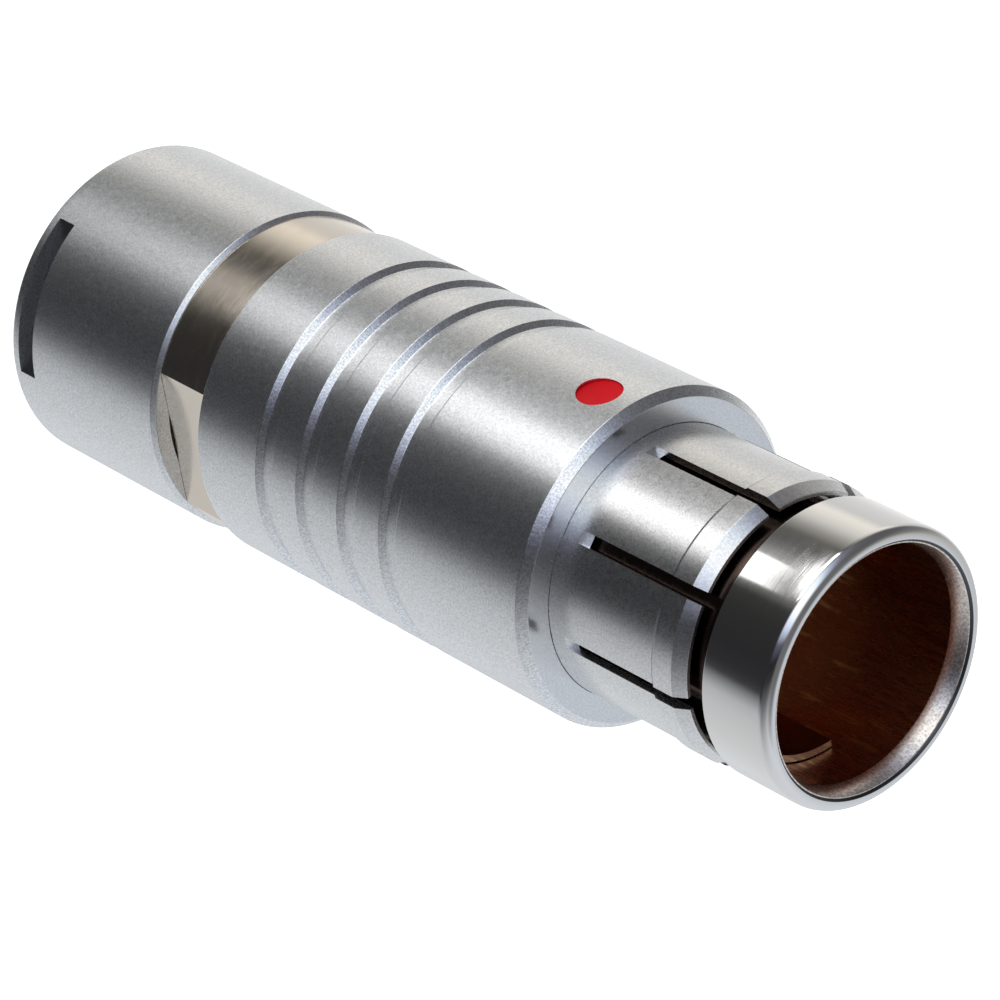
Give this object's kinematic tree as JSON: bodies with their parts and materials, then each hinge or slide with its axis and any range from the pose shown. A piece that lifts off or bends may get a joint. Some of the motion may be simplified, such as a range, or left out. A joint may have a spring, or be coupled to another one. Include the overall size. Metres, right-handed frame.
{
  "type": "push pull circular connector",
  "caption": "Round push pull cable connector with a grooved sliding grip, slotted latch fingers, a hollow round nose and a clamping back nut.",
  "frame": {"origin": "centre of the back nut's flat rear face, on the connector's axis", "axes": "+Z along the axis from the back nut to the open mouth, -Y through the index dot"},
  "size_m": [0.025, 0.025, 0.0782],
  "materials": {
    "satin_chrome_nut": "matte satin chrome plate, fine bead-blasted grain",
    "satin_chrome_grip": "matte satin chrome plate, fine bead-blasted grain",
    "satin_chrome_latch": "matte satin chrome plate, fine bead-blasted grain",
    "polished_nickel_body": "bright turned nickel over brass",
    "polished_chrome_collar": "polished chrome plate",
    "nose_brass": "bare honed brass bore, bright plate outside",
    "nickel_half_shell": "matte nickel over brass",
    "collet_brass": "turned brass",
    "spring_steel": "dark spring steel",
    "insulator_plastic": "matte moulded plastic",
    "contact_gold": "gold plated",
    "red_enamel": "red enamel fill"
  },
  "bodies": {
    "core": {"rear_body": "polished_nickel_body", "retaining_ring": "spring_steel", "latch_sleeve": "satin_chrome_latch", "nose_tube": "nose_brass", "front_collar": "polished_chrome_collar", "long_half_shell": "nickel_half_shell", "short_half_shell": "nickel_half_shell", "insulator": "insulator_plastic", "contact_1": "contact_gold", "contact_2": "contact_gold", "contact_3": "contact_gold", "contact_4": "contact_gold", "contact_5": "contact_gold", "contact_6": "contact_gold", "contact_7": "contact_gold", "contact_8": "contact_gold", "contact_9": "contact_gold", "contact_10": "contact_gold"},
    "grip": {"grip_sleeve": "satin_chrome_grip", "index_dot": "red_enamel"},
    "collet": {"cable_collet": "collet_brass"},
    "nut": {"back_nut": "satin_chrome_nut"}
  },
  "joints": [
    {"name": "grip_slide", "type": "slide", "parent": "core", "child": "grip", "axis": [0, 0, 1], "range_m": [-0.0025, 0], "stiffness_N_per_m": 800},
    {"name": "collet_slide", "type": "slide", "parent": "core", "child": "collet", "axis": [0, 0, 1], "range_m": [-0.003, 0]},
    {"name": "nut_turn", "type": "hinge", "parent": "collet", "child": "nut", "pos_m": [0, 0, 0], "axis": [0, 0, 1], "range_deg": [-1080, 0]}
  ],
  "couplings": [
    {"joint": "nut_turn", "follows": "collet_slide", "rad_per_m": 6283.2}
  ]
}
